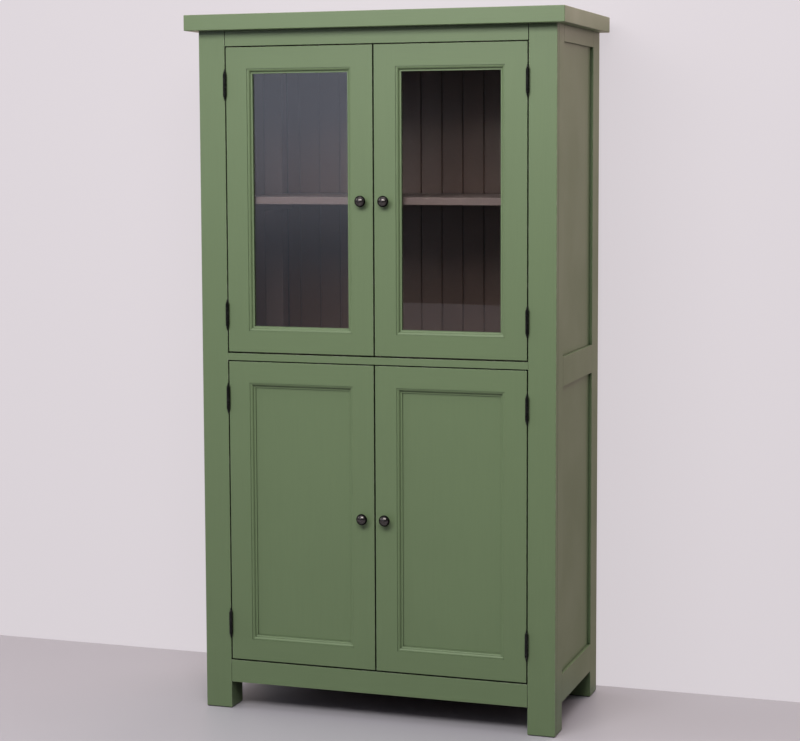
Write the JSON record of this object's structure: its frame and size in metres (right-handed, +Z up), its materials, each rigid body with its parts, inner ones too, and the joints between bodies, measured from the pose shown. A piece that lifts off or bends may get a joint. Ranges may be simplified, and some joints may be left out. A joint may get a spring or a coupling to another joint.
{
  "type": "kitchen cabinet",
  "caption": "Free-standing painted kitchen cabinet: glazed doors over panelled doors on butt hinges, thick overhanging top, square posts as feet, shelves inside.",
  "frame": {"origin": "bottom centre of the bounding box: on the floor, under the middle of the top slab", "axes": "+Z up, -Y towards the front (the doors face -Y), +X to the viewer's right from the front"},
  "size_m": [1.05, 0.52, 1.9],
  "materials": {
    "green_paint": "satin sage-green paint on solid wood, fine grain telegraphing through",
    "taupe_paint": "satin grey-brown paint inside the cabinet, darker on the back boards",
    "clear_glass": "clear float glass, polished",
    "dark_bronze": "satin oil-rubbed bronze, paler on the dome and nearly black on the rim",
    "black_iron": "semi-gloss black",
    "catch_plastic": "matt brown",
    "plated_steel": "zinc plated"
  },
  "bodies": {
    "carcass": {"back_boards": "taupe_paint", "back_left_post": "green_paint", "back_rails": "green_paint", "back_right_post": "green_paint", "floor_board": "taupe_paint", "frame_hinges": "black_iron", "front_bottom_rail": "green_paint", "front_left_post": "green_paint", "front_right_post": "green_paint", "front_top_rail": "green_paint", "left_side_bottom_rail": "green_paint", "left_side_lower_panel": "green_paint", "left_side_middle_rail": "green_paint", "left_side_top_rail": "green_paint", "left_side_upper_panel": "green_paint", "lower_shelf": "taupe_paint", "magnetic_catches": "catch_plastic", "middle_deck": "green_paint", "right_side_bottom_rail": "green_paint", "right_side_lower_panel": "green_paint", "right_side_middle_rail": "green_paint", "right_side_top_rail": "green_paint", "right_side_upper_panel": "green_paint", "shelf_cleats": "taupe_paint", "top_slab": "green_paint", "upper_shelf": "taupe_paint"},
    "upper_left_door": {"upper_left_bottom_rail": "green_paint", "upper_left_glass": "clear_glass", "upper_left_glazing_beads": "green_paint", "upper_left_hinge_stile": "green_paint", "upper_left_hinges": "black_iron", "upper_left_knob": "dark_bronze", "upper_left_lock_stile": "green_paint", "upper_left_strike_plate": "plated_steel", "upper_left_top_rail": "green_paint"},
    "upper_right_door": {"upper_right_bottom_rail": "green_paint", "upper_right_glass": "clear_glass", "upper_right_glazing_beads": "green_paint", "upper_right_hinge_stile": "green_paint", "upper_right_hinges": "black_iron", "upper_right_knob": "dark_bronze", "upper_right_lock_stile": "green_paint", "upper_right_strike_plate": "plated_steel", "upper_right_top_rail": "green_paint"},
    "lower_left_door": {"lower_left_bottom_rail": "green_paint", "lower_left_hinge_stile": "green_paint", "lower_left_hinges": "black_iron", "lower_left_knob": "dark_bronze", "lower_left_lock_stile": "green_paint", "lower_left_panel": "green_paint", "lower_left_strike_plate": "plated_steel", "lower_left_top_rail": "green_paint"},
    "lower_right_door": {"lower_right_bottom_rail": "green_paint", "lower_right_hinge_stile": "green_paint", "lower_right_hinges": "black_iron", "lower_right_knob": "dark_bronze", "lower_right_lock_stile": "green_paint", "lower_right_panel": "green_paint", "lower_right_strike_plate": "plated_steel", "lower_right_top_rail": "green_paint"}
  },
  "joints": [
    {"name": "upper_left_door_hinge", "type": "hinge", "parent": "carcass", "child": "upper_left_door", "pos_m": [-0.4204, -0.2288, 1.4033], "axis": [0, 0, -1], "range_deg": [0, 180]},
    {"name": "upper_right_door_hinge", "type": "hinge", "parent": "carcass", "child": "upper_right_door", "pos_m": [0.4204, -0.2288, 1.4033], "axis": [0, 0, 1], "range_deg": [0, 180]},
    {"name": "lower_left_door_hinge", "type": "hinge", "parent": "carcass", "child": "lower_left_door", "pos_m": [-0.4204, -0.2288, 0.5536], "axis": [0, 0, -1], "range_deg": [0, 180]},
    {"name": "lower_right_door_hinge", "type": "hinge", "parent": "carcass", "child": "lower_right_door", "pos_m": [0.4204, -0.2288, 0.5536], "axis": [0, 0, 1], "range_deg": [0, 180]}
  ]
}
